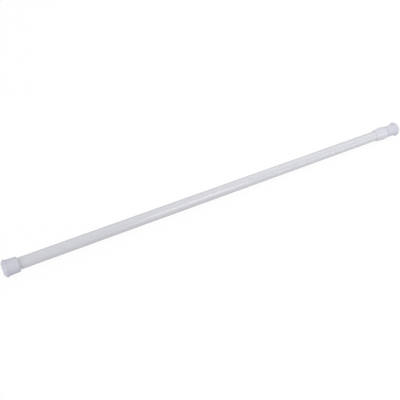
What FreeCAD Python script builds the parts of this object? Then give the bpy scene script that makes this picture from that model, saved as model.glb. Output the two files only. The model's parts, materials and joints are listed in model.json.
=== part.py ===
import FreeCAD, Part
import math
import os
from types import SimpleNamespace

import Sketcher

# Spring tension rod, pushed fully closed. Millimetres.
# +X runs along the rod from the outer foot's wall face to the inner foot's, and +Z is up.
# Two thin steel tubes telescope. A twist lock on a sprung plunger, inside the outer tube,
# holds the inner tube at any length, and the spring then presses both feet against the walls.

SIZES = {
    # tubes
    "outer_tube_od": 16,
    "outer_tube_wall": 0.5,
    "outer_tube_length": 622.5,
    "tube_gap": 1.0,  # between the outer tube's bore and the inner tube
    "inner_tube_wall": 0.5,
    "inner_tube_length": 514,
    "nose_clearance": 3,  # least room between the outer tube's end plug and the lock
    # grooves rolled into the tubes
    "roll_floor": 1.6,
    "roll_ramp": 1.2,
    "stop_roll_inset": 9,  # from the outer tube's mouth to the middle of its groove
    "stop_roll_depth": 0.6,
    "crimp_inset": 8,  # from the inner tube's inner end to the middle of its groove
    "crimp_depth": 0.6,
    "roll_clearance": 0.1,  # between a groove and what sits in it
    # soft feet
    "foot_floor": 3.5,
    "foot_fit": 0.05,
    "end_cone_depth": 2.6,  # of the cone between the foot's wall face and its lip
    "end_cone_drop": 4.25,
    "end_cone_radius": 2.0,  # rounds both rims of the cone
    "lip_edge_radius": 0.7,
    "mouth_edge_radius": 1.0,
    "mouth_lead_in": 0.7,
    "grip_groove_spacing": 2.5,  # from the foot's axis, and from groove to groove
    "grip_groove_width": 0.9,
    "grip_groove_depth": 0.5,
    "outer_foot_length": 20.6,
    "outer_foot_wall": 2.05,
    "outer_foot_taper": 0.65,
    "outer_lip_stand": 0.85,  # the lip's height above the foot's body
    "outer_lip_land": 2.3,  # from the cone to the lip's slope
    "outer_lip_slope": 1.4,
    "inner_foot_length": 25.1,
    "inner_foot_wall": 2.45,
    "inner_foot_taper": 0.15,
    "inner_lip_stand": 2.05,
    "inner_lip_land": 1.4,
    "inner_lip_slope": 4.5,
    "closed_gap": 0.4,  # between the collar and the inner foot on the closed rod
    # hard plugs under the feet
    "end_plug_flange": 1.5,
    "end_plug_spigot": 6,
    "end_plug_wall": 1.4,
    "end_plug_fit": 0.05,
    # collar on the outer tube's mouth
    "collar_length": 21,
    "collar_lead": 3,  # length of the cone at its start
    "collar_lead_wall": 0.55,
    "collar_lead_radius": 0.3,
    "collar_sleeve_wall": 1.3,  # behind the cone
    "collar_wall": 2.5,  # at its belly
    "collar_end_drop": 0.6,  # from the belly down to the end wall
    "collar_end_wall": 3,
    "collar_belly_inset": 7,  # from the end wall's face to the widest ring
    "collar_belly_radius": 40,  # along the collar
    "collar_edge_radius": 1.0,
    "collar_fit": 0.05,
    "collar_slide_clearance": 0.1,
    # guide ring on the inner tube's inner end
    "ring_width": 5,
    "ring_slit": 1.5,
    "ring_side_clearance": 0.1,
    "ring_bore_clearance": 0.1,
    "ring_slide_clearance": 0.15,
    # plug crimped into the inner tube
    "plug_flange": 2.5,
    "plug_flange_clearance": 0.4,
    "plug_depth": 16,
    "plug_fit": 0.05,
    # plunger
    "shaft_flats": 6,
    "shaft_slide_clearance": 0.1,
    "shaft_socket": 18,
    "tail_od": 5,
    "tail_length": 4,
    "clip_groove_od": 4,
    "stop_washer_thickness": 1,
    "stop_washer_clearance": 0.5,  # between the washer and the inner tube's bore
    "washer_hole_clearance": 0.05,
    "clip_thickness": 0.7,
    "clip_rim": 1.5,
    "clip_relief": 1.0,  # between the clip's rim and the groove's floor
    "clip_tab": 1.8,
    "clip_opening": 3.4,
    "clip_fit": 0.02,
    # spring, as it sits in the closed rod
    "spring_length": 62,
    "spring_wire": 1.4,
    "spring_turns": 9,
    "spring_end_gap": 0.2,  # between the closed turns at each end
    "spring_ground": 0.3,  # what is ground off the end turns
    "spring_shaft_clearance": 1.25,
    "spigot_length": 4,
    "spigot_clearance": 0.15,
    "spigot_chamfer": 0.5,
    # twist lock
    "core_length": 25,
    "core_clearance": 0.3,
    "core_edge_chamfer": 0.6,
    "core_pin_od": 2,
    "core_pin_inset": 9,
    "core_pin_recess": 0.4,
    "core_pin_chamfer": 0.3,
    "core_pin_fit": 0.02,
    "eccentricity": 0.6,
    "journal_od": 8,
    "cam_width": 10,
    "cam_clearance": 0.5,
    "cam_side_clearance": 0.1,
    "cam_bore_clearance": 0.05,
    "cam_flutes": 18,
    "cam_flute_radius": 0.45,
    "cam_washer_stand": 1.8,  # how far the washer covers the cam's face round the journal
    "cam_washer_thickness": 0.8,
    "screw_od": 2.9,
    "screw_length": 14,
    "screw_fit": 0.05,
    "screw_hole_spare": 0.8,
    "screw_head_od": 5.6,
    "screw_head_height": 2.2,
    "screw_head_radius": 1.0,
    "screw_recess_width": 0.9,
    "screw_recess_span": 3.2,
    "screw_recess_depth": 1.2,
}

doc = FreeCAD.newDocument("tension_rod")
sheet = doc.addObject("Spreadsheet::Sheet", "Sizes")
for row, (alias, number) in enumerate(SIZES.items(), 1):
    sheet.set(f"A{row}", alias)
    sheet.set(f"B{row}", str(number))
    sheet.setAlias(f"B{row}", alias)
doc.recompute()


class Length:
    """An expression on the sheet's cells, so that every size worked out from them stays bound."""

    def __init__(self, text):
        self.text = str(text)

    def __str__(self):
        return self.text

    def __add__(self, other):
        return Length(f"({self} + {other})")

    def __sub__(self, other):
        return Length(f"({self} - {other})")

    def __mul__(self, factor):
        return Length(f"({self} * {factor})")

    def __truediv__(self, divisor):
        return Length(f"({self} / {divisor})")

    def __neg__(self):
        return Length(f"(0 - {self})")

    def or_more(self, other):
        return Length(f"max({self}; {other})")

    @property
    def value(self):
        result = sheet.evalExpression(self.text)
        return float(getattr(result, "Value", result))


size = SimpleNamespace(**{alias: Length(f"Sizes.{alias}") for alias in SIZES})
AXIS = Length(0)

# Radii that several pieces share
outer_r = size.outer_tube_od / 2
bore_r = outer_r - size.outer_tube_wall
inner_r = bore_r - size.tube_gap
inner_bore_r = inner_r - size.inner_tube_wall
shaft_corner_r = size.shaft_flats / math.sqrt(3)
shaft_hole_corner_r = (size.shaft_flats + size.shaft_slide_clearance * 2) / math.sqrt(3)
spring_bore_r = shaft_corner_r + size.spring_shaft_clearance
spring_line_r = spring_bore_r + size.spring_wire / 2
spigot_r = spring_bore_r - size.spigot_clearance
journal_r = size.journal_od / 2

# Stations along the rod, from the outer foot's wall face
outer_tube_start = size.foot_floor + size.end_plug_flange
outer_tube_mouth = outer_tube_start + size.outer_tube_length
collar_end = outer_tube_mouth + size.collar_end_wall

# The rod is closed when the inner foot meets the collar, or before that when the lock nears the end plug
lock_head = size.screw_head_height + size.cam_washer_thickness + size.cam_width + size.cam_side_clearance * 2
ring_seat = size.plug_flange + size.ring_width + size.ring_side_clearance * 2
lock_length = lock_head + size.core_length + size.spring_length + ring_seat
inner_end_cover = size.foot_floor + size.end_plug_flange
foremost_nose = outer_tube_start + size.end_plug_spigot + size.nose_clearance
end_by_lock = foremost_nose + lock_length + size.inner_tube_length + inner_end_cover
rod_end = (collar_end + size.closed_gap + size.inner_foot_length).or_more(end_by_lock)
inner_tube_end = rod_end - inner_end_cover
lock_nose = inner_tube_end - size.inner_tube_length - lock_length
screw_seat = lock_nose + size.screw_head_height
journal_end = screw_seat + size.cam_washer_thickness
core_shoulder = journal_end + size.cam_width + size.cam_side_clearance * 2
spring_start = core_shoulder + size.core_length
spring_end = spring_start + size.spring_length
ring_seat_start = spring_end + size.plug_flange
inner_tube_start = ring_seat_start + size.ring_width + size.ring_side_clearance * 2
plug_end = inner_tube_start + size.plug_depth
shaft_start = spring_start - size.shaft_socket
clip_start = plug_end + size.stop_washer_thickness
tail_end = plug_end + size.tail_length
core_pin_station = spring_start - size.core_pin_inset


# Ways of making a piece
def origin_plane(body, role):
    return next(feature for feature in body.Origin.OriginFeatures if feature.Role == role)


def new_sketch(body, name, plane, **offsets):
    """A sketch on one of the body's origin planes, shifted by x, y or z of its own frame."""
    sketch = body.newObject("Sketcher::SketchObject", name)
    sketch.AttachmentSupport = [(origin_plane(body, plane), "")]
    sketch.MapMode = "FlatFace"
    for direction, distance in offsets.items():
        sketch.setExpression(f"AttachmentOffset.Base.{direction}", str(distance))
    return sketch


def bind_point(sketch, geometry, point, across, up):
    """Ties one point of a sketch to its two distances from the sketch's origin."""
    horizontal_axis, vertical_axis, root_point = -1, -2, (-1, 1)
    for kind, distance, axis in (("DistanceX", across, vertical_axis), ("DistanceY", up, horizontal_axis)):
        number = distance.value
        if abs(number) < 1e-9:
            sketch.addConstraint(Sketcher.Constraint("PointOnObject", geometry, point, axis))
            continue
        ends = (*root_point, geometry, point) if number > 0 else (geometry, point, *root_point)
        index = sketch.addConstraint(Sketcher.Constraint(kind, *ends, abs(number)))
        sketch.setExpression(f"Constraints[{index}]", str(distance if number > 0 else -distance))


def draw_outline(sketch, corners):
    """A closed outline of straight lines through (across, up) corners."""
    points = [FreeCAD.Vector(across.value, up.value, 0) for across, up in corners]
    first = sketch.GeometryCount
    count = len(points)
    for i in range(count):
        sketch.addGeometry(Part.LineSegment(points[i], points[(i + 1) % count]))
    for i in range(count):
        following = first + (i + 1) % count
        sketch.addConstraint(Sketcher.Constraint("Coincident", first + i, 2, following, 1))
    for i, (across, up) in enumerate(corners):
        bind_point(sketch, first + i, 1, across, up)


def draw_circle(sketch, radius, up=AXIS):
    centre = FreeCAD.Vector(0, up.value, 0)
    circle = sketch.addGeometry(Part.Circle(centre, FreeCAD.Vector(0, 0, 1), radius.value))
    bind_point(sketch, circle, 3, AXIS, up)
    index = sketch.addConstraint(Sketcher.Constraint("Radius", circle, radius.value))
    sketch.setExpression(f"Constraints[{index}]", str(radius))


def box_corners(start, end, low, high):
    return [(start, low), (end, low), (end, high), (start, high)]


def check_cut(body, volume_before):
    doc.recompute()
    if body.Shape.Volume > volume_before - 1e-6:
        raise RuntimeError(f"a cut in {body.Label} removed nothing")


def turned(body, name, corners, axis="H_Axis", **offsets):
    """Adds a solid of revolution, from a half profile."""
    sketch = new_sketch(body, f"{name}_profile", "XZ_Plane", **offsets)
    draw_outline(sketch, corners)
    feature = body.newObject("PartDesign::Revolution", name)
    feature.Profile = sketch
    feature.ReferenceAxis = (sketch, [axis])
    feature.Angle = 360
    doc.recompute()


def turned_cut(body, name, outlines, axis="H_Axis", **offsets):
    """Cuts away solids of revolution, from half profiles."""
    volume_before = body.Shape.Volume
    sketch = new_sketch(body, f"{name}_profile", "XZ_Plane", **offsets)
    for corners in outlines:
        draw_outline(sketch, corners)
    feature = body.newObject("PartDesign::Groove", name)
    feature.Profile = sketch
    feature.ReferenceAxis = (sketch, [axis])
    feature.Angle = 360
    check_cut(body, volume_before)


def hexagonal_hole(body, name, start, depth):
    volume_before = body.Shape.Volume
    hole = body.newObject("PartDesign::SubtractivePrism", name)
    hole.AttachmentSupport = [(origin_plane(body, "YZ_Plane"), "")]
    hole.MapMode = "FlatFace"
    hole.Polygon = 6
    hole.setExpression("AttachmentOffset.Base.z", str(start))
    hole.setExpression("Circumradius", str(shaft_hole_corner_r))
    hole.setExpression("Height", str(depth))
    check_cut(body, volume_before)


def round_rims(body, name, radius, rims):
    """Rounds the circular edges that run through (station, radius) corners of the last profile."""
    base = body.Tip
    edges = []
    for number, edge in enumerate(base.Shape.Edges, 1):
        if not isinstance(edge.Curve, Part.Circle):
            continue
        for station, rim_r in rims:
            at_station = abs(edge.Curve.Center.x - station.value) < 1e-6
            if at_station and abs(edge.Curve.Radius - rim_r.value) < 1e-6:
                edges.append(f"Edge{number}")
    fillet = body.newObject("PartDesign::Fillet", name)
    fillet.Base = (base, edges)
    fillet.setExpression("Radius", str(radius))
    doc.recompute()


def polar_copies(body, name, original, count, **bound):
    """Repeats a feature evenly round the rod's axis."""
    pattern = body.newObject("PartDesign::PolarPattern", name)
    pattern.Originals = [original]
    pattern.Axis = (origin_plane(body, "X_Axis"), [""])
    pattern.Angle = 360
    pattern.Occurrences = count
    for setting, expression in bound.items():
        pattern.setExpression(setting, str(expression))
    body.Tip = pattern
    doc.recompute()


def new_body(label):
    return doc.addObject("PartDesign::Body", label)


def rolled_wall(start, end, r, wall, roll_middle, roll_depth):
    """The half section of a tube whose wall dips inwards in one rolled groove."""
    half_floor = size.roll_floor / 2
    dip = [
        (roll_middle - half_floor - size.roll_ramp, AXIS),
        (roll_middle - half_floor, roll_depth),
        (roll_middle + half_floor, roll_depth),
        (roll_middle + half_floor + size.roll_ramp, AXIS),
    ]
    outside = [(start, r)] + [(station, r - depth) for station, depth in dip] + [(end, r)]
    return outside + [(station, radius - wall) for station, radius in reversed(outside)]


# Outer tube: seamed steel, with the groove near its mouth that stops the guide ring
def outer_tube():
    stop_roll = outer_tube_mouth - size.stop_roll_inset
    body = new_body("outer_tube")
    turned(
        body,
        "outer_tube_wall",
        rolled_wall(
            outer_tube_start, outer_tube_mouth, outer_r, size.outer_tube_wall, stop_roll, size.stop_roll_depth
        ),
    )
    return body


# Inner tube: crimped onto its plug at the inner end
def inner_tube():
    crimp = inner_tube_start + size.crimp_inset
    body = new_body("inner_tube")
    turned(
        body,
        "inner_tube_wall",
        rolled_wall(inner_tube_start, inner_tube_end, inner_r, size.inner_tube_wall, crimp, size.crimp_depth),
    )
    return body


# Soft feet: a cup pushed over the tube, with a lip and two grip grooves round the wall face.
# A rounded cone leads from the face to the lip.
def foot(label, face, inwards, tube_r, length, wall, taper, stand, land, slope):
    """inwards is +1 where the foot's mouth lies towards +X from its wall face, else -1."""

    def station(depth):
        return face + depth * inwards

    bore = tube_r + size.foot_fit
    mouth_r = bore + wall
    body_r = mouth_r + taper
    lip_r = body_r + stand
    face_r = lip_r - size.end_cone_drop
    lip_width = size.end_cone_depth + land
    root = lip_width + slope
    body = new_body(label)
    turned(
        body,
        f"{label}_cup",
        [
            (station(AXIS), AXIS),
            (station(AXIS), face_r),
            (station(size.end_cone_depth), lip_r),
            (station(lip_width), lip_r),
            (station(root), body_r),
            (station(length), mouth_r),
            (station(length), bore + size.mouth_lead_in),
            (station(length - size.mouth_lead_in), bore),
            (station(size.foot_floor), bore),
            (station(size.foot_floor), AXIS),
        ],
    )
    cone_rims = [(station(AXIS), face_r), (station(size.end_cone_depth), lip_r)]
    round_rims(body, f"{label}_end_round", size.end_cone_radius, cone_rims)
    lip_rims = [(station(lip_width), lip_r), (station(root), body_r)]
    round_rims(body, f"{label}_lip_round", size.lip_edge_radius, lip_rims)
    round_rims(body, f"{label}_mouth_round", size.mouth_edge_radius, [(station(length), mouth_r)])
    half_groove = size.grip_groove_width / 2
    grooves = []
    for ring in (1, 2):
        groove_r = size.grip_groove_spacing * ring
        floor = station(size.grip_groove_depth)
        grooves.append(box_corners(station(AXIS), floor, groove_r - half_groove, groove_r + half_groove))
    turned_cut(body, f"{label}_grip", grooves)
    return body


def outer_foot():
    return foot(
        "outer_foot",
        AXIS,
        1,
        outer_r,
        size.outer_foot_length,
        size.outer_foot_wall,
        size.outer_foot_taper,
        size.outer_lip_stand,
        size.outer_lip_land,
        size.outer_lip_slope,
    )


def inner_foot():
    return foot(
        "inner_foot",
        rod_end,
        -1,
        inner_r,
        size.inner_foot_length,
        size.inner_foot_wall,
        size.inner_foot_taper,
        size.inner_lip_stand,
        size.inner_lip_land,
        size.inner_lip_slope,
    )


# Hard plugs: a flange on the tube's cut end and a hollow spigot inside the tube
def end_plug(label, tube_end, inwards, tube_r, tube_bore_r):
    def station(depth):
        return tube_end + depth * inwards

    spigot = tube_bore_r - size.end_plug_fit
    body = new_body(label)
    turned(
        body,
        f"{label}_cup",
        [
            (station(-size.end_plug_flange), AXIS),
            (station(-size.end_plug_flange), tube_r),
            (station(AXIS), tube_r),
            (station(AXIS), spigot),
            (station(size.end_plug_spigot), spigot),
            (station(size.end_plug_spigot), spigot - size.end_plug_wall),
            (station(AXIS), spigot - size.end_plug_wall),
            (station(AXIS), AXIS),
        ],
    )
    return body


def outer_end_plug():
    return end_plug("outer_end_plug", outer_tube_start, 1, outer_r, bore_r)


def inner_end_plug():
    return end_plug("inner_end_plug", inner_tube_end, -1, inner_r, inner_bore_r)


# Mouth collar: pushed over the outer tube until its rib snaps into the rolled groove.
# Barrel shaped outside, behind a short cone. Its end wall closes the tube's mouth down to the inner tube.
def mouth_collar():
    start = collar_end - size.collar_length
    bore = outer_r + size.collar_fit
    belly = collar_end - size.collar_belly_inset
    lead_r = bore + size.collar_lead_wall
    sleeve_r = bore + size.collar_sleeve_wall
    belly_r = bore + size.collar_wall
    end_r = belly_r - size.collar_end_drop
    slide_hole = inner_r + size.collar_slide_clearance
    roll_middle = outer_tube_mouth - size.stop_roll_inset
    half_floor = size.roll_floor / 2 - size.roll_clearance
    half_base = size.roll_floor / 2 + size.roll_ramp - size.roll_clearance
    rib_r = outer_r - size.stop_roll_depth + size.roll_clearance
    body = new_body("mouth_collar")
    turned(
        body,
        "mouth_collar_sleeve",
        [
            (start, bore),
            (start, lead_r),
            (start + size.collar_lead, sleeve_r),
            (belly, belly_r),
            (collar_end, end_r),
            (collar_end, slide_hole),
            (outer_tube_mouth, slide_hole),
            (outer_tube_mouth, bore),
            (roll_middle + half_base, bore),
            (roll_middle + half_floor, rib_r),
            (roll_middle - half_floor, rib_r),
            (roll_middle - half_base, bore),
        ],
    )
    round_rims(body, "mouth_collar_belly", size.collar_belly_radius, [(belly, belly_r)])
    round_rims(body, "mouth_collar_lead_round", size.collar_lead_radius, [(start, lead_r)])
    round_rims(body, "mouth_collar_end_round", size.collar_edge_radius, [(collar_end, end_r)])
    return body


# Guide ring: split, so that it springs over the tube plug, and free to turn on it
def guide_ring():
    start = ring_seat_start + size.ring_side_clearance
    end = start + size.ring_width
    body = new_body("guide_ring")
    ring_bore = inner_bore_r - size.plug_fit + size.ring_bore_clearance
    ring_r = bore_r - size.ring_slide_clearance
    turned(body, "guide_ring_band", box_corners(start, end, ring_bore, ring_r))
    volume_before = body.Shape.Volume
    sketch = new_sketch(body, "guide_ring_slit_outline", "XY_Plane")
    draw_outline(sketch, box_corners(start, end, -size.ring_slit / 2, size.ring_slit / 2))
    slit = body.newObject("PartDesign::Pocket", "guide_ring_slit")
    slit.Profile = sketch
    slit.Type = "ThroughAll"
    check_cut(body, volume_before)
    return body


# Tube plug: seats the spring and the guide ring outside the inner tube, and guides the plunger
def tube_plug():
    plug_r = inner_bore_r - size.plug_fit
    flange_r = bore_r - size.plug_flange_clearance
    spigot_start = spring_end - size.spigot_length
    crimp = inner_tube_start + size.crimp_inset
    half_floor = size.roll_floor / 2 + size.roll_clearance
    half_base = half_floor + size.roll_ramp
    crimp_r = plug_r - size.crimp_depth
    body = new_body("tube_plug")
    turned(
        body,
        "tube_plug_moulding",
        [
            (spigot_start, AXIS),
            (spigot_start, spigot_r - size.spigot_chamfer),
            (spigot_start + size.spigot_chamfer, spigot_r),
            (spring_end, spigot_r),
            (spring_end, flange_r),
            (ring_seat_start, flange_r),
            (ring_seat_start, plug_r),
            (crimp - half_base, plug_r),
            (crimp - half_floor, crimp_r),
            (crimp + half_floor, crimp_r),
            (crimp + half_base, plug_r),
            (plug_end, plug_r),
            (plug_end, AXIS),
        ],
    )
    hexagonal_hole(body, "tube_plug_hole", spigot_start, plug_end - spigot_start)
    return body


# Plunger shaft: hexagonal bar, turned down at its tail for the stop washer and clip
def plunger_shaft():
    body = new_body("plunger_shaft")
    bar = body.newObject("PartDesign::AdditivePrism", "plunger_bar")
    bar.AttachmentSupport = [(origin_plane(body, "YZ_Plane"), "")]
    bar.MapMode = "FlatFace"
    bar.Polygon = 6
    bar.setExpression("AttachmentOffset.Base.z", str(shaft_start))
    bar.setExpression("Circumradius", str(shaft_corner_r))
    bar.setExpression("Height", str(plug_end - shaft_start))
    tail_r = size.tail_od / 2
    turned(body, "plunger_tail", box_corners(plug_end, tail_end, AXIS, tail_r))
    groove_end = clip_start + size.clip_thickness + size.clip_fit
    groove = box_corners(clip_start, groove_end, size.clip_groove_od / 2, tail_r + size.clip_fit)
    turned_cut(body, "clip_groove", [groove])
    pin_hole_r = size.core_pin_od / 2 + size.core_pin_fit
    pin_hole = box_corners(AXIS, pin_hole_r, -size.shaft_flats, size.shaft_flats)
    turned_cut(body, "plunger_pin_hole", [pin_hole], axis="V_Axis", x=core_pin_station)
    return body


# Stop washer: lands on the tube plug when the spring has pushed the plunger out
def stop_washer():
    hole_r = size.tail_od / 2 + size.washer_hole_clearance
    rim_r = inner_bore_r - size.crimp_depth - size.stop_washer_clearance
    body = new_body("stop_washer")
    turned(body, "stop_washer_disc", box_corners(plug_end, clip_start, hole_r, rim_r))
    return body


# Stop clip: a flat spring clip with three tabs that grip the tail's groove
def stop_clip():
    seat_r = size.clip_groove_od / 2 + size.clip_fit
    rim_bore_r = size.clip_groove_od / 2 + size.clip_relief
    rim_r = rim_bore_r + size.clip_rim
    clip_end = clip_start + size.clip_thickness
    body = new_body("stop_clip")
    turned(body, "stop_clip_rim", box_corners(clip_start, clip_end, rim_bore_r, rim_r))
    half_tab = size.clip_tab / 2
    sketch = new_sketch(body, "stop_clip_tab_outline", "YZ_Plane", z=clip_start)
    draw_outline(sketch, box_corners(-half_tab, half_tab, seat_r, rim_bore_r + size.clip_rim / 2))
    tab = body.newObject("PartDesign::Pad", "stop_clip_tab")
    tab.Profile = sketch
    tab.setExpression("Length", str(size.clip_thickness))
    doc.recompute()
    polar_copies(body, "stop_clip_tabs", tab, 3)
    volume_before = body.Shape.Volume
    half_opening = size.clip_opening / 2
    sketch = new_sketch(body, "stop_clip_opening_outline", "YZ_Plane", z=clip_end)
    draw_outline(sketch, box_corners(-half_opening, half_opening, -rim_r * 2, -seat_r))
    opening = body.newObject("PartDesign::Pocket", "stop_clip_opening")
    opening.Profile = sketch
    opening.setExpression("Length", str(size.clip_thickness))
    check_cut(body, volume_before)
    return body


# Compression spring: open turns between one closed and ground turn at each end
def compression_spring():
    sides = 8
    corner_r = size.spring_wire / 2 / math.cos(math.pi / sides)
    end_pitch = size.spring_wire + size.spring_end_gap
    inset = size.spring_wire / 2 - size.spring_ground
    open_height = size.spring_length - inset * 2 - end_pitch * 2
    open_pitch = open_height / size.spring_turns
    one_turn = Length(1)
    runs = [
        ("first_turn", inset, end_pitch, one_turn),
        ("open_turns", inset + end_pitch, open_pitch, size.spring_turns),
        ("last_turn", inset + end_pitch + open_height, end_pitch, one_turn),
    ]
    body = new_body("compression_spring")
    for name, along, pitch, turns in runs:
        sketch = new_sketch(body, f"{name}_wire", "XZ_Plane")
        angles = [2 * math.pi * (side + 0.5) / sides for side in range(sides)]
        middle = spring_start + along
        draw_outline(
            sketch,
            [(middle + corner_r * math.cos(a), spring_line_r + corner_r * math.sin(a)) for a in angles],
        )
        coil = body.newObject("PartDesign::AdditiveHelix", name)
        coil.Profile = sketch
        coil.ReferenceAxis = (sketch, ["H_Axis"])
        coil.Mode = "pitch-turns-angle"
        coil.setExpression("Pitch", str(pitch))
        coil.setExpression("Turns", str(turns))
        doc.recompute()
    wheel_r = spring_line_r + size.spring_wire
    ground_ends = [
        box_corners(spring_start - size.spring_wire, spring_start, AXIS, wheel_r),
        box_corners(spring_end, spring_end + size.spring_wire, AXIS, wheel_r),
    ]
    turned_cut(body, "ground_ends", ground_ends)
    return body


# Lock core: moulded, with the spring's spigot, the plunger's socket and the off-centre journal
def lock_core():
    core_r = bore_r - size.core_clearance
    chamfer = size.core_edge_chamfer
    spigot_end = spring_start + size.spigot_length
    body = new_body("lock_core")
    turned(
        body,
        "lock_core_barrel",
        [
            (core_shoulder, AXIS),
            (core_shoulder, core_r - chamfer),
            (core_shoulder + chamfer, core_r),
            (spring_start - chamfer, core_r),
            (spring_start, core_r - chamfer),
            (spring_start, spigot_r),
            (spigot_end - size.spigot_chamfer, spigot_r),
            (spigot_end, spigot_r - size.spigot_chamfer),
            (spigot_end, AXIS),
        ],
    )
    journal = box_corners(journal_end, core_shoulder, AXIS, journal_r)
    turned(body, "lock_core_journal", journal, y=size.eccentricity)
    hole_end = screw_seat + size.screw_length + size.screw_hole_spare
    screw_hole = box_corners(journal_end, hole_end, AXIS, size.screw_od / 2 + size.screw_fit)
    turned_cut(body, "lock_core_screw_hole", [screw_hole], y=size.eccentricity)
    hexagonal_hole(body, "lock_core_socket", shaft_start, spigot_end - shaft_start)
    pin_hole_r = size.core_pin_od / 2 + size.core_pin_fit
    pin_hole = box_corners(AXIS, pin_hole_r, -bore_r, bore_r)
    turned_cut(body, "lock_core_pin_hole", [pin_hole], axis="V_Axis", x=core_pin_station)
    return body


# Core pin: through the core and the plunger
def core_pin():
    pin_r = size.core_pin_od / 2
    half = bore_r - size.core_clearance - size.core_pin_recess
    chamfer = size.core_pin_chamfer
    body = new_body("core_pin")
    turned(
        body,
        "core_pin_rod",
        [
            (AXIS, -half),
            (pin_r - chamfer, -half),
            (pin_r, chamfer - half),
            (pin_r, half - chamfer),
            (pin_r - chamfer, half),
            (AXIS, half),
        ],
        axis="V_Axis",
        x=core_pin_station,
    )
    return body


# Lock cam: an eccentric ring, centred in the outer tube while the lock is open.
# Flutes along its outside bite when the journal drives it against the tube's wall.
def lock_cam():
    cam_r = bore_r - size.cam_clearance
    start = journal_end + size.cam_side_clearance
    body = new_body("lock_cam")
    sketch = new_sketch(body, "lock_cam_outline", "YZ_Plane", z=start)
    draw_circle(sketch, cam_r)
    draw_circle(sketch, journal_r + size.cam_bore_clearance, size.eccentricity)
    ring = body.newObject("PartDesign::Pad", "lock_cam_ring")
    ring.Profile = sketch
    ring.setExpression("Length", str(size.cam_width))
    doc.recompute()
    volume_before = body.Shape.Volume
    sketch = new_sketch(body, "lock_cam_flute_outline", "YZ_Plane", z=start + size.cam_width)
    draw_circle(sketch, size.cam_flute_radius, cam_r)
    flute = body.newObject("PartDesign::Pocket", "lock_cam_flute")
    flute.Profile = sketch
    flute.setExpression("Length", str(size.cam_width))
    check_cut(body, volume_before)
    polar_copies(body, "lock_cam_flutes", flute, SIZES["cam_flutes"], Occurrences=size.cam_flutes)
    return body


# Cam washer and screw: keep the cam on the journal
def cam_washer():
    hole_r = size.screw_od / 2 + size.screw_fit
    rim_r = journal_r + size.cam_washer_stand
    body = new_body("cam_washer")
    disc = box_corners(screw_seat, journal_end, hole_r, rim_r)
    turned(body, "cam_washer_disc", disc, y=size.eccentricity)
    return body


def cam_screw():
    shank_end = screw_seat + size.screw_length
    shank_r = size.screw_od / 2
    head_r = size.screw_head_od / 2
    body = new_body("cam_screw")
    turned(
        body,
        "cam_screw_blank",
        [
            (lock_nose, AXIS),
            (lock_nose, head_r),
            (screw_seat, head_r),
            (screw_seat, shank_r),
            (shank_end - shank_r, shank_r),
            (shank_end, AXIS),
        ],
        y=size.eccentricity,
    )
    round_rims(body, "cam_screw_head_round", size.screw_head_radius, [(lock_nose, head_r)])
    volume_before = body.Shape.Volume
    arm = size.screw_recess_span / 2
    half = size.screw_recess_width / 2
    sketch = new_sketch(body, "cam_screw_recess_outline", "YZ_Plane", y=size.eccentricity, z=lock_nose)
    draw_outline(
        sketch,
        [
            (half, half),
            (half, arm),
            (-half, arm),
            (-half, half),
            (-arm, half),
            (-arm, -half),
            (-half, -half),
            (-half, -arm),
            (half, -arm),
            (half, -half),
            (arm, -half),
            (arm, half),
        ],
    )
    recess = body.newObject("PartDesign::Pocket", "cam_screw_recess")
    recess.Profile = sketch
    recess.Reversed = True
    recess.setExpression("Length", str(size.screw_recess_depth))
    check_cut(body, volume_before)
    return body


# The rod, from the outer foot inwards
makers = [
    outer_foot,
    outer_end_plug,
    outer_tube,
    mouth_collar,
    cam_screw,
    cam_washer,
    lock_cam,
    lock_core,
    core_pin,
    compression_spring,
    plunger_shaft,
    stop_washer,
    stop_clip,
    tube_plug,
    guide_ring,
    inner_tube,
    inner_end_plug,
    inner_foot,
]
bodies = [make() for make in makers]
doc.recompute()

failed = [item.Name for item in doc.Objects if {"Invalid", "Error"} & set(item.State)]
for body in bodies:
    if body.Shape.isNull() or not body.Shape.isValid() or len(body.Shape.Solids) != 1:
        failed.append(body.Label)
if failed:
    raise RuntimeError(f"not built: {failed}")

os.makedirs("parts", exist_ok=True)
for body in bodies:
    body.Shape.exportStep(f"parts/{body.Label}.step")
print(f"{len(bodies)} pieces, closed length {rod_end.value:.1f} mm")
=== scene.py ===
import json
import math

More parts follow.
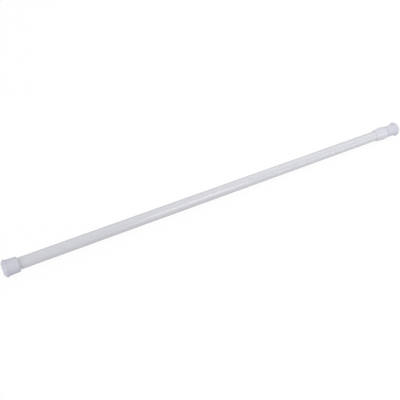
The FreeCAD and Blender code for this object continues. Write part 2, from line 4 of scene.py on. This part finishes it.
import bmesh
import bpy
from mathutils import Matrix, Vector


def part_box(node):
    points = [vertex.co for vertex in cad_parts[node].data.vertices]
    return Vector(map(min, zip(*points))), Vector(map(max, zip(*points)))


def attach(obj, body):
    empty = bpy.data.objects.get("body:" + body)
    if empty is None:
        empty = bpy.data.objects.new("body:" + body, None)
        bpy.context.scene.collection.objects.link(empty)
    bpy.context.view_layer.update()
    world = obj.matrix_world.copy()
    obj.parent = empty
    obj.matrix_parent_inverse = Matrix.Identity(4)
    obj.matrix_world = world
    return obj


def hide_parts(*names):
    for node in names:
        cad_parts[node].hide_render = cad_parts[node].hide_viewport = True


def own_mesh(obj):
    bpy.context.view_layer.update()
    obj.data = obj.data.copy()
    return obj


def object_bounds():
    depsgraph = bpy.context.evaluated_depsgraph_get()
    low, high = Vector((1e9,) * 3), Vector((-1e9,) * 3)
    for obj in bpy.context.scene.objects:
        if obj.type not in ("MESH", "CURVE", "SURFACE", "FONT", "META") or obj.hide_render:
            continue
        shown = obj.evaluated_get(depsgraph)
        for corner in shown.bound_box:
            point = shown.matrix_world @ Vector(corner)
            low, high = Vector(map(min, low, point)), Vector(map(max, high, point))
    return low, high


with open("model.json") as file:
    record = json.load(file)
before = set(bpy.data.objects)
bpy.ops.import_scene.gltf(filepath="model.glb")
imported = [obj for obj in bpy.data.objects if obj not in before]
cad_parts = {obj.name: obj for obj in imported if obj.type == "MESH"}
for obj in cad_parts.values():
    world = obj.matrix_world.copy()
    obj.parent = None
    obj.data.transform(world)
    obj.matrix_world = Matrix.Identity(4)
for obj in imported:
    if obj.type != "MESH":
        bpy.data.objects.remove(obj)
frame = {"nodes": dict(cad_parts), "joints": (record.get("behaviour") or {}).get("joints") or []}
nodes = frame["nodes"]
cad_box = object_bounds()

# Outer tube
# Thin steel strip, rolled round, welded along one seam underneath and coated with white baked enamel.
# The groove rolled in near its mouth stops the guide ring and holds the collar.
MM = 0.001
AROUND = 96  # facets round a turned piece
SAME_POINT = 1e-7  # vertices closer than this are one
LENGTH_DIGITS = 5  # decimals to which edges are compared
SMOOTH_UNDER = math.radians(40)  # sharper edges stay crisp
WALL = 0.5 * MM
STOP_ROLL_INSET = 9 * MM  # from the tube's mouth to the middle of the groove
ROLL_DEPTH = 0.6 * MM
ROLL_FLOOR = 1.6 * MM
ROLL_RAMP = 1.2 * MM
SAWN_EDGE = 0.12 * MM  # round on a sawn and deburred edge
RING_STEP = 14 * MM  # length of tube between two rings of the mesh
SEAM_WIDTH = 0.5 * MM
SEAM_DEPTH = 0.04 * MM


def select_verts(piece, test):
    """Selects the vertices of the piece in edit mode whose place passes the test."""
    mesh = bmesh.from_edit_mesh(piece.data)
    mesh.select_mode = {"VERT"}
    for vert in mesh.verts:
        vert.select_set(test(vert.co))
    mesh.select_flush_mode()
    bmesh.update_edit_mesh(piece.data)


def draw_section(name, points, closed=True):
    """A new piece in edit mode, holding the half section through (along, radius) points."""
    bpy.ops.object.select_all(action="DESELECT")
    here = Vector((points[0][0], 0, points[0][1]))
    bpy.ops.mesh.primitive_plane_add(size=MM, location=here)
    piece = bpy.context.object
    piece.name = piece.data.name = name
    bpy.ops.object.transform_apply(location=True, rotation=False, scale=False)
    bpy.ops.object.mode_set(mode="EDIT")
    bpy.ops.mesh.select_all(action="SELECT")
    bpy.ops.mesh.merge(type="CENTER")
    ends = [here]
    for along, radius in points[1:]:
        there = Vector((along, 0, radius))
        bpy.ops.mesh.extrude_vertices_move(TRANSFORM_OT_translate={"value": there - here})
        here = there
    if closed:
        ends.append(here)
        select_verts(piece, lambda place: min((place - end).length for end in ends) < SAME_POINT)
        bpy.ops.mesh.edge_face_add()
    return piece


def round_corners(piece, radius, corners, segments=6):
    """Rounds corners of the drawn section, given as (along, radius) points, with arcs."""
    for along, height in corners:
        corner = Vector((along, 0, height))
        select_verts(piece, lambda place: (place - corner).length < SAME_POINT)
        mesh = bmesh.from_edit_mesh(piece.data)
        vert = next(vert for vert in mesh.verts if vert.select)
        arms = [edge.other_vert(vert).co - vert.co for edge in vert.link_edges]
        turn = math.pi - arms[0].angle(arms[1])
        bpy.ops.mesh.bevel(affect="VERTICES", offset=radius * math.tan(turn / 2), segments=segments)


def divide_runs(piece, step):
    """Divides the section's long straight runs, so that the spun faces stay well shaped."""
    mesh = bmesh.from_edit_mesh(piece.data)
    lengths = {round(edge.calc_length(), LENGTH_DIGITS) for edge in mesh.edges}
    for length in sorted(lengths, reverse=True):
        if length < 2 * step:
            break
        mesh = bmesh.from_edit_mesh(piece.data)
        for edge in mesh.edges:
            edge.select_set(abs(edge.calc_length() - length) < 10**-LENGTH_DIGITS)
        bmesh.update_edit_mesh(piece.data)
        bpy.ops.mesh.subdivide(number_cuts=int(length / step))


def smooth_faces(piece):
    """Smooth shading with normals that follow the large faces, so that small rounds stay crisp."""
    bpy.ops.object.mode_set(mode="OBJECT")
    bpy.ops.object.shade_smooth_by_angle(angle=SMOOTH_UNDER)
    normals = piece.modifiers.new("even_normals", "WEIGHTED_NORMAL")
    normals.keep_sharp = True
    bpy.ops.object.modifier_apply(modifier=normals.name)


def spin_section(piece):
    """Turns the drawn section round the rod's axis and finishes the mesh."""
    bpy.ops.mesh.select_all(action="SELECT")
    bpy.ops.mesh.spin(steps=AROUND, angle=math.tau, center=(0, 0, 0), axis=(1, 0, 0))
    bpy.ops.mesh.select_all(action="SELECT")
    bpy.ops.mesh.remove_doubles(threshold=SAME_POINT)
    bpy.ops.mesh.normals_make_consistent(inside=False)
    smooth_faces(piece)


def rolled_tube(name, start, end, radius, roll_middle):
    """A tube with one rolled groove, where its wall dips inwards on both faces."""
    half = ROLL_FLOOR / 2
    outside = [
        (start, radius),
        (roll_middle - half - ROLL_RAMP, radius),
        (roll_middle - half, radius - ROLL_DEPTH),
        (roll_middle + half, radius - ROLL_DEPTH),
        (roll_middle + half + ROLL_RAMP, radius),
        (end, radius),
    ]
    inside = [(along, height - WALL) for along, height in reversed(outside)]
    piece = draw_section(name, outside + inside)
    round_corners(piece, SAWN_EDGE, [outside[0], outside[-1], inside[0], inside[-1]], segments=3)
    round_corners(piece, ROLL_FLOOR / 2, outside[1:-1] + inside[1:-1], segments=4)
    divide_runs(piece, RING_STEP)
    spin_section(piece)
    return piece


class Value:
    """One output of a shader node. A sum or product written with it adds its Math node."""

    def __init__(self, shader, output):
        self.shader = shader
        self.output = output

    def math(self, operation, first, second):
        return self.shader.node("ShaderNodeMath", {"operation": operation}, {0: first, 1: second})

    def __add__(self, other):
        return self.math("ADD", self, other)

    def __sub__(self, other):
        return self.math("SUBTRACT", self, other)

    def __rsub__(self, other):
        return self.math("SUBTRACT", other, self)

    def __mul__(self, other):
        return self.math("MULTIPLY", self, other)

    def __lt__(self, other):
        return self.math("LESS_THAN", self, other)

    def __abs__(self):
        return self.math("ABSOLUTE", self, 0)

    __radd__ = __add__
    __rmul__ = __mul__


class Shader:
    """The nodes of one material, or of the surroundings."""

    def __init__(self, tree):
        self.tree = tree

    def node(self, kind, settings=None, sockets=None, take=0):
        made = self.tree.nodes.new(kind)
        for setting, choice in (settings or {}).items():
            setattr(made, setting, choice)
        for socket, source in (sockets or {}).items():
            self.feed(made.inputs[socket], source)
        return Value(self, made.outputs[take])

    def feed(self, socket, source):
        if isinstance(source, Value):
            self.tree.links.new(source.output, socket)
        else:
            socket.default_value = source


class Finish(Shader):
    """A surface finish on Object coordinates, in metres."""

    def __init__(self, name, **constants):
        self.material = bpy.data.materials.new(name)
        self.material.use_nodes = True
        super().__init__(self.material.node_tree)
        self.principled = self.tree.nodes["Principled BSDF"]
        self.surface(**constants)
        self.place = self.node("ShaderNodeTexCoord", take="Object")

    def surface(self, **sockets):
        for socket, source in sockets.items():
            self.feed(self.principled.inputs[socket.replace("_", " ")], source)

    def noise(self, size, detail=2, stretch=(1, 1, 1)):
        """Noise whose features are about the given size, drawn out along the axes by stretch."""
        scale = [1 / (size * factor) for factor in stretch]
        place = self.node("ShaderNodeMapping", None, {"Vector": self.place, "Scale": scale})
        return self.node("ShaderNodeTexNoise", None, {"Vector": place, "Scale": 1, "Detail": detail})

    def mix(self, factor, first, second):
        sockets = {0: factor, 6: (*first, 1), 7: (*second, 1)}
        return self.node("ShaderNodeMix", {"data_type": "RGBA"}, sockets, 2)

    def bump(self, height, depth):
        return self.node("ShaderNodeBump", None, {"Height": height, "Distance": depth}, "Normal")

    def coat(self, *pieces):
        for piece in pieces:
            if not piece.material_slots:
                piece.data.materials.append(self.material)
            for slot in piece.material_slots:
                slot.material = self.material


enamel = Finish("white_baked_enamel", IOR=1.5)
film = enamel.noise(60 * MM, 3)
peel = enamel.noise(1.3 * MM, 1)
drawn = enamel.noise(1.1 * MM, 2, (160, 1, 1))
across = enamel.node("ShaderNodeSeparateXYZ", None, {0: enamel.place}, "Y")
height = enamel.node("ShaderNodeSeparateXYZ", None, {0: enamel.place}, "Z")
seam = (abs(across) < SEAM_WIDTH / 2) * (height < 0)
enamel.surface(
    Base_Color=enamel.mix(film, (0.595, 0.60, 0.635), (0.62, 0.625, 0.66)),
    Roughness=0.08 + film * 0.04 + drawn * 0.03,
    Normal=enamel.bump(peel * 0.05 - seam, SEAM_DEPTH),
)
tube_low, tube_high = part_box("outer_tube")
outer_tube = rolled_tube(
    "outer_tube_skin", tube_low.x, tube_high.x, tube_high.z, tube_high.x - STOP_ROLL_INSET
)
enamel.coat(outer_tube)
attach(outer_tube, "outer")
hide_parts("outer_tube")

# Outer end plug
# A hard white plastic cup, moulded in one shot and pressed into the tube's end.
# Its flange keeps the thin tube wall from cutting through the soft foot.
hard_plastic = Finish("hard_white_plastic", IOR=1.46)
grain = hard_plastic.noise(0.4 * MM)
hard_plastic.surface(
    Base_Color=hard_plastic.mix(hard_plastic.noise(8 * MM), (0.60, 0.60, 0.59), (0.64, 0.64, 0.63)),
    Roughness=0.5 + grain * 0.12,
    Normal=hard_plastic.bump(grain, 0.005 * MM),
)
hard_plastic.coat(nodes["outer_end_plug"])

# Outer foot
# A soft white rubber cup, moulded in one piece and pushed over the tube's end.
# Its coned and rounded end and the grip grooves in its face press on the wall.
FOOT_FLOOR = 3.5 * MM
FOOT_FIT = 0.05 * MM
END_CONE_DEPTH = 2.6 * MM  # of the cone between the wall face and the lip
END_CONE_DROP = 4.25 * MM
END_ROUND = 2 * MM
LIP_ROUND = 0.7 * MM
MOUTH_ROUND = 1 * MM
LEAD_IN = 0.7 * MM
GRIP_SPACING = 2.5 * MM
GRIP_WIDTH = 0.9 * MM
GRIP_DEPTH = 0.5 * MM
GRIP_ROUND = 0.15 * MM
MOULDED_STEP = 2 * MM  # between two rings of a moulded piece's mesh
OUTER_FOOT_WALL = 2.05 * MM
OUTER_FOOT_TAPER = 0.65 * MM
OUTER_LIP_LAND = 2.3 * MM  # from the cone to the lip's slope
OUTER_LIP_SLOPE = 1.4 * MM


def moulded_foot(name, face, inwards, lip_r, length, bore, wall, taper, land, slope):
    """inwards is +1 where the foot's mouth lies towards +X from its wall face, else -1."""

    def at(depth, radius):
        return (face + depth * inwards, radius)

    mouth_r = bore + wall
    grips = []
    for ring in (1, 2):
        low, high = ring * GRIP_SPACING - GRIP_WIDTH / 2, ring * GRIP_SPACING + GRIP_WIDTH / 2
        grips += [at(0, low), at(GRIP_DEPTH, low), at(GRIP_DEPTH, high), at(0, high)]
    cone = [at(0, lip_r - END_CONE_DROP), at(END_CONE_DEPTH, lip_r)]
    lip_width = END_CONE_DEPTH + land
    lip = [at(lip_width, lip_r), at(lip_width + slope, mouth_r + taper)]
    mouth = at(length, mouth_r)
    lead = [at(length, bore + LEAD_IN), at(length - LEAD_IN, bore)]
    floor = [at(FOOT_FLOOR, bore), at(FOOT_FLOOR, 0)]
    piece = draw_section(name, [at(0, 0), *grips, *cone, *lip, mouth, *lead, *floor], closed=False)
    round_corners(piece, GRIP_ROUND, grips, segments=3)
    round_corners(piece, END_ROUND, cone, segments=8)
    round_corners(piece, LIP_ROUND, lip)
    round_corners(piece, MOUTH_ROUND, [mouth])
    divide_runs(piece, MOULDED_STEP)
    spin_section(piece)
    return piece


rubber = Finish("soft_white_rubber", IOR=1.48, Specular_IOR_Level=0.4)
bloom = rubber.noise(6 * MM, 3)
spark = rubber.noise(0.25 * MM)
rubber.surface(
    Base_Color=rubber.mix(bloom, (0.57, 0.57, 0.65), (0.60, 0.60, 0.68)),
    Roughness=0.44 + bloom * 0.1,
    Normal=rubber.bump(spark, 0.007 * MM),
)
foot_low, foot_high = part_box("outer_foot")
outer_foot = moulded_foot(
    "outer_foot_cup",
    foot_low.x,
    1,
    foot_high.z,
    foot_high.x - foot_low.x,
    tube_high.z + FOOT_FIT,
    OUTER_FOOT_WALL,
    OUTER_FOOT_TAPER,
    OUTER_LIP_LAND,
    OUTER_LIP_SLOPE,
)
rubber.coat(outer_foot)
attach(outer_foot, "outer")
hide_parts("outer_foot")

# Inner tube
# Thinner steel tube of the same make and coat, which slides in the outer one.
# The groove near its inner end is crimped onto the tube plug.
CRIMP_INSET = 8 * MM
inner_low, inner_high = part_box("inner_tube")
inner_tube = rolled_tube(
    "inner_tube_skin", inner_low.x, inner_high.x, inner_high.z, inner_low.x + CRIMP_INSET
)
enamel.coat(inner_tube)
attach(inner_tube, "inner")
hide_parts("inner_tube")

# Tube plug and guide ring
# Natural nylon, injection moulded. The plug is crimped into the inner tube's end,
# and the split ring is sprung over it and runs in the outer tube's bore.
nylon = Finish("natural_nylon", IOR=1.53)
flow = nylon.noise(5 * MM, 3, (3, 1, 1))
nylon.surface(
    Base_Color=nylon.mix(flow, (0.60, 0.575, 0.49), (0.66, 0.635, 0.56)),
    Roughness=0.38 + flow * 0.12,
    Normal=nylon.bump(nylon.noise(0.5 * MM), 0.004 * MM),
)
nylon.coat(nodes["tube_plug"], nodes["guide_ring"])

# Compression spring
# Round spring steel wire, coiled with one closed turn at each end, which is ground flat.
# It pushes the plunger's lock away from the tube plug.
SPRING_WIRE = 1.4 * MM
SPRING_TURNS = 9  # open turns
END_PITCH = 1.6 * MM  # of the closed turns
SPRING_GROUND = 0.3 * MM
POINTS_A_TURN = 48
WIRE_START = 0.25  # of a turn, so that the wire starts at the top
SPRING_TRAVEL = next(joint for joint in frame["joints"] if joint["name"] == "spring_travel")["range_m"][1]
spring_low, spring_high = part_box("compression_spring")
line_r = spring_high.z - SPRING_WIRE / 2
inset = SPRING_WIRE / 2 - SPRING_GROUND
spring_length = spring_high.x - spring_low.x
open_pitch = (spring_length - 2 * inset - 2 * END_PITCH) / SPRING_TURNS
coil = bpy.data.curves.new("spring_wire", "CURVE")
coil.dimensions = "3D"
coil.bevel_depth = SPRING_WIRE / 2
coil.bevel_resolution = 5
coil.use_fill_caps = True
wire = coil.splines.new("POLY")
wire.points.add((SPRING_TURNS + 2) * POINTS_A_TURN)
for number, point in enumerate(wire.points):
    turns = number / POINTS_A_TURN
    opened = min(max(turns - 1, 0), SPRING_TURNS)
    along = spring_low.x + inset + (turns - opened) * END_PITCH + opened * open_pitch
    angle = math.tau * (turns + WIRE_START)
    point.co = (along, line_r * math.cos(angle), line_r * math.sin(angle), 1)
spring = bpy.data.objects.new("compression_spring_coil", coil)
bpy.context.scene.collection.objects.link(spring)
bpy.ops.object.select_all(action="DESELECT")
spring.select_set(True)
bpy.context.view_layer.objects.active = spring
bpy.ops.object.convert(target="MESH")
bpy.ops.object.mode_set(mode="EDIT")
for ground_face, clear in ((spring_low.x, "clear_inner"), (spring_high.x, "clear_outer")):
    bpy.ops.mesh.select_all(action="SELECT")
    bpy.ops.mesh.bisect(plane_co=(ground_face, 0, 0), plane_no=(1, 0, 0), use_fill=True, **{clear: True})
smooth_faces(spring)
spring_steel = Finish("oiled_spring_steel", Metallic=1.0)
oil = spring_steel.noise(2 * MM, 3)
spring_steel.surface(
    Base_Color=spring_steel.mix(oil, (0.24, 0.24, 0.25), (0.34, 0.335, 0.33)),
    Roughness=0.3 + oil * 0.15,
    Normal=spring_steel.bump(spring_steel.noise(0.2 * MM), 0.0015 * MM),
)
spring_steel.coat(spring)
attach(spring, "inner")
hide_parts("compression_spring")
1 - SPRING_TRAVEL / spring_length
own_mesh(spring)

# Plunger shaft, stop washer and stop clip
# Cold drawn hexagonal steel bar, turned down at its tail and plated with bright zinc, as the washer is.
# The stamped spring clip snaps into the tail's groove and keeps the plunger in the tube plug.
zinc = Finish("bright_zinc", Metallic=1.0)
bar_lines = zinc.noise(0.3 * MM, 3, (20, 1, 1))
zinc.surface(
    Base_Color=zinc.mix(bar_lines, (0.52, 0.53, 0.55), (0.66, 0.67, 0.69)),
    Roughness=0.26 + bar_lines * 0.16,
    Normal=zinc.bump(bar_lines, 0.002 * MM),
)
zinc.coat(nodes["plunger_shaft"], nodes["stop_washer"])
spring_steel.coat(nodes["stop_clip"])

# Lock core and core pin
# The core is moulded from the same nylon, with an off-centre journal for the cam.
# A zinc plated steel pin through both fixes it on the plunger.
nylon.coat(nodes["lock_core"])
zinc.coat(nodes["core_pin"])

# Lock cam, cam washer and cam screw
# The cam is a black nylon ring with flutes that bite on the outer tube's bore.
# A plated washer and a tapping screw keep it on the journal.
black_nylon = Finish("black_nylon", IOR=1.53)
mould = black_nylon.noise(0.4 * MM)
black_nylon.surface(
    Base_Color=black_nylon.mix(mould, (0.012, 0.012, 0.013), (0.02, 0.02, 0.021)),
    Roughness=0.42 + mould * 0.12,
    Normal=black_nylon.bump(mould, 0.004 * MM),
)
black_nylon.coat(nodes["lock_cam"])
zinc.coat(nodes["cam_washer"], nodes["cam_screw"])

# Mouth collar
# White plastic sleeve, barrel shaped and moulded in one piece, pushed over the outer tube's mouth until
# the rib in its bore snaps into the rolled groove. Its end wall closes the mouth down to the inner tube.
COLLAR_FIT = 0.05 * MM
COLLAR_LEAD = 3 * MM  # length of the cone at its start
LEAD_WALL = 0.55 * MM
LEAD_ROUND = 0.3 * MM
SLEEVE_WALL = 1.3 * MM  # behind the cone
COLLAR_WALL = 2.5 * MM  # at its belly
COLLAR_END_DROP = 0.6 * MM  # from the belly down to the end wall
BELLY_INSET = 7 * MM  # from the end wall's face to the widest ring
BELLY_ROUND = 40 * MM
COLLAR_ROUND = 1 * MM
SLIDE_CLEARANCE = 0.1 * MM
RIB_CLEARANCE = 0.1 * MM
collar_plastic = Finish("semi_gloss_white_plastic", IOR=1.49)
sink = collar_plastic.noise(7 * MM, 3)
collar_plastic.surface(
    Base_Color=collar_plastic.mix(sink, (0.60, 0.60, 0.665), (0.63, 0.63, 0.69)),
    Roughness=0.34 + sink * 0.08,
    Normal=collar_plastic.bump(collar_plastic.noise(0.3 * MM), 0.004 * MM),
)
collar_low, collar_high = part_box("mouth_collar")
mouth, sleeve_bore = tube_high.x, tube_high.z + COLLAR_FIT
belly_r = sleeve_bore + COLLAR_WALL
lead_rim = (collar_low.x, sleeve_bore + LEAD_WALL)
belly_ring = (collar_high.x - BELLY_INSET, belly_r)
end_rim = (collar_high.x, belly_r - COLLAR_END_DROP)
hole = inner_high.z + SLIDE_CLEARANCE
rib_middle = mouth - STOP_ROLL_INSET
rib_top = ROLL_FLOOR / 2 - RIB_CLEARANCE
rib_base = rib_top + ROLL_RAMP
rib_r = tube_high.z - ROLL_DEPTH + RIB_CLEARANCE
mouth_collar = draw_section(
    "mouth_collar_sleeve",
    [
        (collar_low.x, sleeve_bore),
        lead_rim,
        (collar_low.x + COLLAR_LEAD, sleeve_bore + SLEEVE_WALL),
        belly_ring,
        end_rim,
        (collar_high.x, hole),
        (mouth, hole),
        (mouth, sleeve_bore),
        (rib_middle + rib_base, sleeve_bore),
        (rib_middle + rib_top, rib_r),
        (rib_middle - rib_top, rib_r),
        (rib_middle - rib_base, sleeve_bore),
    ],
)
round_corners(mouth_collar, BELLY_ROUND, [belly_ring], segments=8)
round_corners(mouth_collar, LEAD_ROUND, [lead_rim], segments=4)
round_corners(mouth_collar, COLLAR_ROUND, [end_rim], segments=8)
divide_runs(mouth_collar, MOULDED_STEP)
spin_section(mouth_collar)
collar_plastic.coat(mouth_collar)
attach(mouth_collar, "outer")
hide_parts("mouth_collar")

# Inner end plug and inner foot
# The plug is pressed into the inner tube's end. The foot is moulded from the same rubber as the outer
# one, with a thicker wall that flares to the lip, and pushed over the tube.
INNER_FOOT_WALL = 2.45 * MM
INNER_FOOT_TAPER = 0.15 * MM
INNER_LIP_LAND = 1.4 * MM
INNER_LIP_SLOPE = 4.5 * MM
hard_plastic.coat(nodes["inner_end_plug"])
far_low, far_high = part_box("inner_foot")
inner_foot = moulded_foot(
    "inner_foot_cup",
    far_high.x,
    -1,
    far_high.z,
    far_high.x - far_low.x,
    inner_high.z + FOOT_FIT,
    INNER_FOOT_WALL,
    INNER_FOOT_TAPER,
    INNER_LIP_LAND,
    INNER_LIP_SLOPE,
)
rubber.coat(inner_foot)
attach(inner_foot, "inner")
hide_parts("inner_foot")

# Floor
# A pale matt sweep, laid level with the rod's lowest point, the outer foot's lip.
# It throws light back up at the rod, and shows to the camera as nearly plain white.
FLOOR_SIZE = 12
FLOOR_VEIL = 0.9  # how much of the floor shows as plain white
FLOOR_GLOW = 1.05  # of that white
bpy.ops.object.select_all(action="DESELECT")
bpy.ops.mesh.primitive_plane_add(size=FLOOR_SIZE, location=(cad_box[1].x / 2, 0, cad_box[0].z))
floor = bpy.context.object
floor.name = "floor"


def background_rays(shader):
    """1 for the rays that show what lies behind the rod, 0 for those that light it."""
    kinds = ("Is Camera Ray", "Is Glossy Ray", "Is Transmission Ray")
    camera, glossy, transmission = (shader.node("ShaderNodeLightPath", take=kind) for kind in kinds)
    return camera + glossy + transmission


sweep = Finish("white_sweep", Base_Color=(0.55, 0.55, 0.55, 1), Roughness=1.0)
glow = sweep.node("ShaderNodeEmission", None, {"Color": (1, 1, 1, 1), "Strength": FLOOR_GLOW})
matt = Value(sweep, sweep.principled.outputs[0])
veil = background_rays(sweep) * FLOOR_VEIL
shown = sweep.node("ShaderNodeMixShader", None, {0: veil, 1: matt, 2: glow})
sweep.feed(sweep.tree.nodes["Material Output"].inputs["Surface"], shown)
sweep.coat(floor)

# Studio
# White surroundings, a key lamp and its fill off the near end, broad soft lamps above, behind and low in
# front of the far end, and a small strip whose reflection lies along the middle of the tube.
SURROUNDINGS = 0.42  # light that the white surroundings throw on the rod
scene = bpy.context.scene
scene.view_settings.view_transform = "Standard"
scene.world = bpy.data.worlds.new("studio")
scene.world.use_nodes = True
studio = Shader(scene.world.node_tree)
background = studio.tree.nodes["Background"]
studio.feed(background.inputs["Color"], (1, 1, 1, 1))
brightness = SURROUNDINGS + background_rays(studio) * (1 - SURROUNDINGS)
studio.feed(background.inputs["Strength"], brightness)


def lamp(name, place, aim, size, power):
    data = bpy.data.lights.new(name, "AREA")
    data.shape = "RECTANGLE"
    data.size, data.size_y = size
    data.energy = power
    item = bpy.data.objects.new(name, data)
    scene.collection.objects.link(item)
    item.location = place
    item.rotation_euler = (Vector(aim) - Vector(place)).to_track_quat("-Z", "Y").to_euler()


lamp("key", (-1.6, -0.4, 0.5), (0.1, 0, 0), (0.5, 0.5), 11)
lamp("fill", (-0.9, -0.45, 0.55), (0.1, 0, 0), (0.5, 0.5), 2.1)
lamp("overhead", (0.95, 0.2, 1.1), (0.55, 0, 0), (1.6, 1.4), 6.6)
lamp("low", (1, -1, 0.22), (0.6, 0, 0), (1.3, 0.42), 3.5)
lamp("back", (0.6, 1.1, 0.9), (0.4, 0, 0), (1.6, 0.5), 2.9)
lamp("strip", (0.7, -0.9, 0.68), (0.7, 0, 0), (0.42, 0.16), 2.8)

# Camera
# It looks down along the rod from above the near foot, as the photograph does.
# Its lens and distance give the photograph's perspective, with the far foot at the picture's edge.
AIM = Vector((0.2814, -0.0015, -0.001))
AZIMUTH, ELEVATION, DISTANCE = math.radians(-28.53), math.radians(41.5), 0.79
lens = bpy.data.cameras.new("camera")
lens.sensor_width = 36
lens.lens = 49.5
camera = bpy.data.objects.new("camera", lens)
scene.collection.objects.link(camera)
level = math.cos(ELEVATION)
back = Vector((math.sin(AZIMUTH) * level, -math.cos(AZIMUTH) * level, math.sin(ELEVATION)))
camera.location = AIM + back * DISTANCE
camera.rotation_euler = (-back).to_track_quat("-Z", "Y").to_euler()
scene.camera = camera
